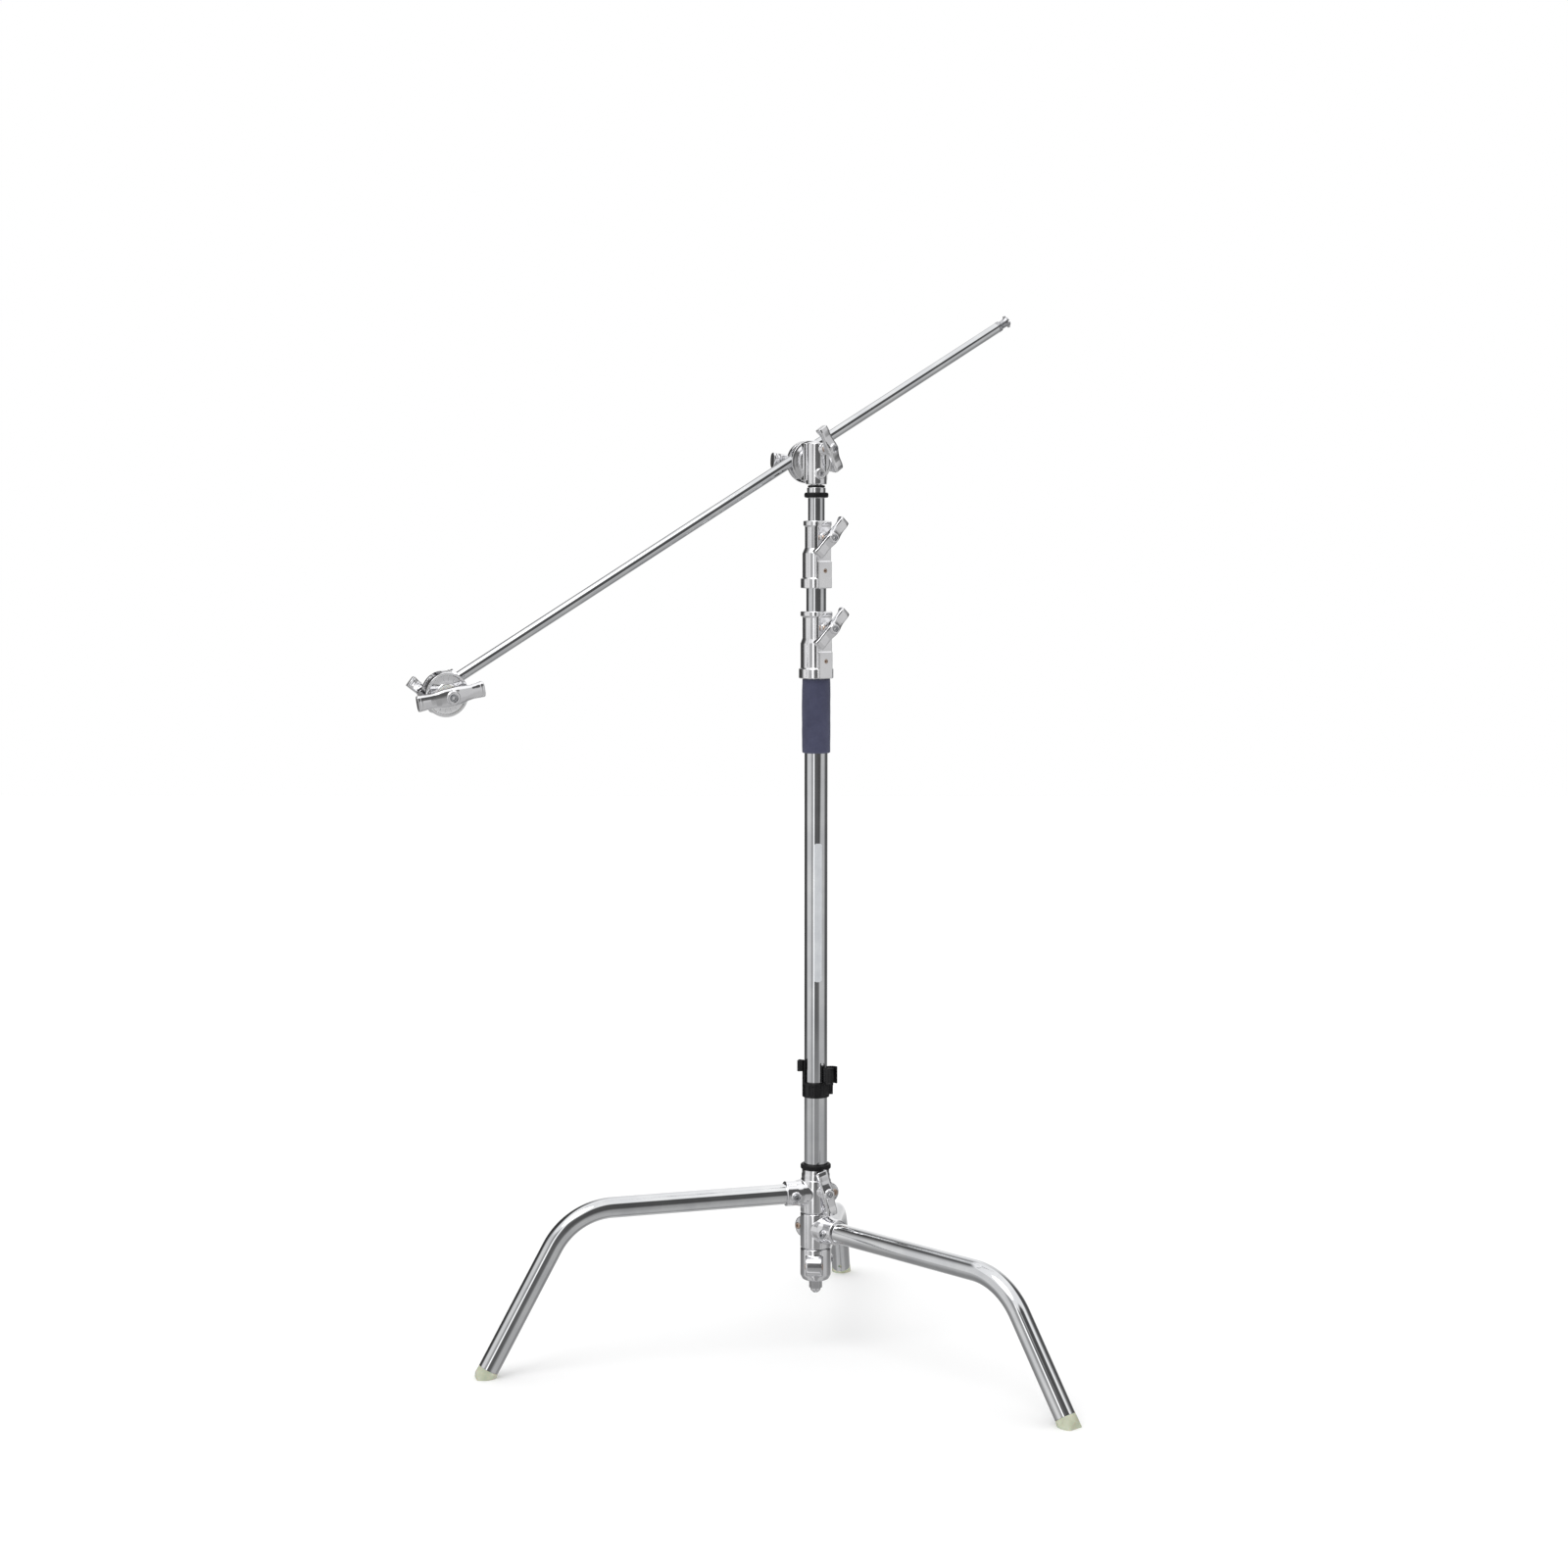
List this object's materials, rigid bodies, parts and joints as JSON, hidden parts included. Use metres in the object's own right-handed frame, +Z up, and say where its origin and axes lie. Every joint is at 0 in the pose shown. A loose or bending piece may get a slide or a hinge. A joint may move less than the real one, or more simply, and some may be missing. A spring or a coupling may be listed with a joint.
{
  "type": "c stand",
  "caption": "Grip stand with a folding bent-leg base, telescoping chromed column with lock collars, and a grip head holding a long arm with a second head at its end.",
  "frame": {"origin": "the point of the floor on the column axis", "axes": "+Z up along the column, +Y away from the camera of the source view, +X to its right; the arm rises towards +X and +Y"},
  "size_m": [0.9583, 0.861, 1.5731],
  "materials": {
    "chrome": "polished chrome plate on steel tube",
    "cast": "chrome plate on a casting, slightly satin",
    "steel": "machined, zinc plated",
    "brass": "machined, dull",
    "rubber": "matt moulded rubber",
    "plastic": "moulded, fine grain",
    "nylon": "plain nylon",
    "foam": "closed-cell foam, matt",
    "foot": "pale translucent moulded plug",
    "label": "plain blank adhesive film"
  },
  "bodies": {
    "base": {"hub_top": "cast", "base_sleeve": "steel", "base_cap_nut": "cast", "base_ring": "rubber", "leg_1_tube": "chrome", "leg_1_foot": "foot", "leg_1_bolt": "steel", "leg_1_lug_pin": "brass"},
    "leg_2": {"hub_middle": "cast", "leg_2_tube": "chrome", "leg_2_foot": "foot", "leg_2_bolt": "steel", "leg_2_lug_pin": "brass"},
    "leg_3": {"hub_bottom": "cast", "leg_3_tube": "chrome", "leg_3_foot": "foot", "leg_3_bolt": "steel", "leg_3_lug_pin": "brass"},
    "base_lock": {"base_handle": "cast"},
    "riser": {"riser_tube": "chrome", "riser_end_plug": "nylon", "foam_grip": "foam", "label_strip": "label", "collar_1_body": "cast", "collar_1_liner": "nylon", "collar_1_set_screw": "brass"},
    "collar_1_lock": {"collar_1_handle": "cast"},
    "clip": {"arm_clip": "plastic"},
    "second": {"second_tube": "chrome", "second_guide": "nylon", "collar_2_body": "cast", "collar_2_liner": "nylon", "collar_2_set_screw": "brass"},
    "collar_2_lock": {"collar_2_handle": "cast"},
    "third": {"third_tube": "chrome", "third_guide": "nylon", "top_stud": "chrome", "bumper_ring": "rubber", "seal_ring": "rubber"},
    "stand_head": {"stand_head_body": "cast", "stand_head_bolt": "steel"},
    "stand_lock": {"stand_head_lock": "cast"},
    "stand_clamp": {"stand_head_handle": "cast"},
    "stand_jaws": {"stand_head_inner_jaw": "cast", "stand_head_outer_jaw": "cast", "stand_head_washer": "nylon", "stand_head_thrust_ring": "steel"},
    "arm": {"arm_rod": "chrome", "arm_tip": "steel"},
    "end_head": {"end_head_body": "cast", "end_head_bolt": "steel"},
    "end_lock": {"end_head_lock": "cast"},
    "end_clamp": {"end_head_handle": "cast"},
    "end_jaws": {"end_head_inner_jaw": "cast", "end_head_outer_jaw": "cast", "end_head_washer": "nylon", "end_head_thrust_ring": "steel"}
  },
  "joints": [
    {"name": "leg_2_swing", "type": "hinge", "parent": "base", "child": "leg_2", "pos_m": [0, 0, 0.1893], "axis": [0, 0, 1], "range_deg": [-112, 8]},
    {"name": "leg_3_swing", "type": "hinge", "parent": "base", "child": "leg_3", "pos_m": [0, 0, 0.1366], "axis": [0, 0, 1], "range_deg": [-8, 105]},
    {"name": "base_lock_turn", "type": "hinge", "parent": "base", "child": "base_lock", "pos_m": [0, 0, 0.252], "axis": [0.4695, -0.8829, 0], "range_deg": [-30, 330]},
    {"name": "riser_lift", "type": "slide", "parent": "base", "child": "riser", "axis": [0, 0, 1], "range_m": [0, 0.14]},
    {"name": "collar_1_lock_turn", "type": "hinge", "parent": "riser", "child": "collar_1_lock", "pos_m": [0, 0, 1.1016], "axis": [0.5592, -0.829, 0], "range_deg": [-30, 330]},
    {"name": "clip_turn", "type": "hinge", "parent": "riser", "child": "clip", "pos_m": [0, 0, 0.4055], "axis": [0, 0, 1], "continuous": true},
    {"name": "second_lift", "type": "slide", "parent": "riser", "child": "second", "axis": [0, 0, 1], "range_m": [0, 0.86]},
    {"name": "collar_2_lock_turn", "type": "hinge", "parent": "second", "child": "collar_2_lock", "pos_m": [0, 0, 1.2356], "axis": [0.5592, -0.829, 0], "range_deg": [-30, 330]},
    {"name": "third_lift", "type": "slide", "parent": "second", "child": "third", "axis": [0, 0, 1], "range_m": [0, 0.9]},
    {"name": "stand_head_swivel", "type": "hinge", "parent": "third", "child": "stand_head", "pos_m": [0, 0, 1.348], "axis": [0, 0, -1], "continuous": true},
    {"name": "stand_lock_turn", "type": "hinge", "parent": "stand_head", "child": "stand_lock", "pos_m": [0, 0, 1.366], "axis": [0.7077, -0.7065, 0], "range_deg": [-30, 330]},
    {"name": "stand_clamp_turn", "type": "hinge", "parent": "stand_head", "child": "stand_clamp", "pos_m": [0, 0, 1.348], "axis": [-0.3995, 0.9167, 0], "range_deg": [-30, 330]},
    {"name": "arm_tilt", "type": "hinge", "parent": "stand_head", "child": "stand_jaws", "pos_m": [0, 0, 1.348], "axis": [-0.3995, 0.9167, 0], "range_deg": [-45, 75]},
    {"name": "arm_slide", "type": "slide", "parent": "stand_jaws", "child": "arm", "axis": [0.785, 0.3421, 0.5165], "range_m": [-0.33, 0.54]},
    {"name": "end_head_swivel", "type": "hinge", "parent": "arm", "child": "end_head", "pos_m": [-0.53749, -0.20569, 1.01941], "axis": [0.785, 0.3421, 0.5165], "continuous": true},
    {"name": "end_lock_turn", "type": "hinge", "parent": "end_head", "child": "end_lock", "pos_m": [-0.54456, -0.20877, 1.01476], "axis": [-0.3113, 0.9386, -0.1487], "range_deg": [-30, 330]},
    {"name": "end_clamp_turn", "type": "hinge", "parent": "end_head", "child": "end_clamp", "pos_m": [-0.53749, -0.20569, 1.01941], "axis": [0.4616, -0.8791, -0.1192], "range_deg": [-30, 330]},
    {"name": "end_jaws_turn", "type": "hinge", "parent": "end_head", "child": "end_jaws", "pos_m": [-0.53749, -0.20569, 1.01941], "axis": [0.4616, -0.8791, -0.1192], "continuous": true}
  ]
}
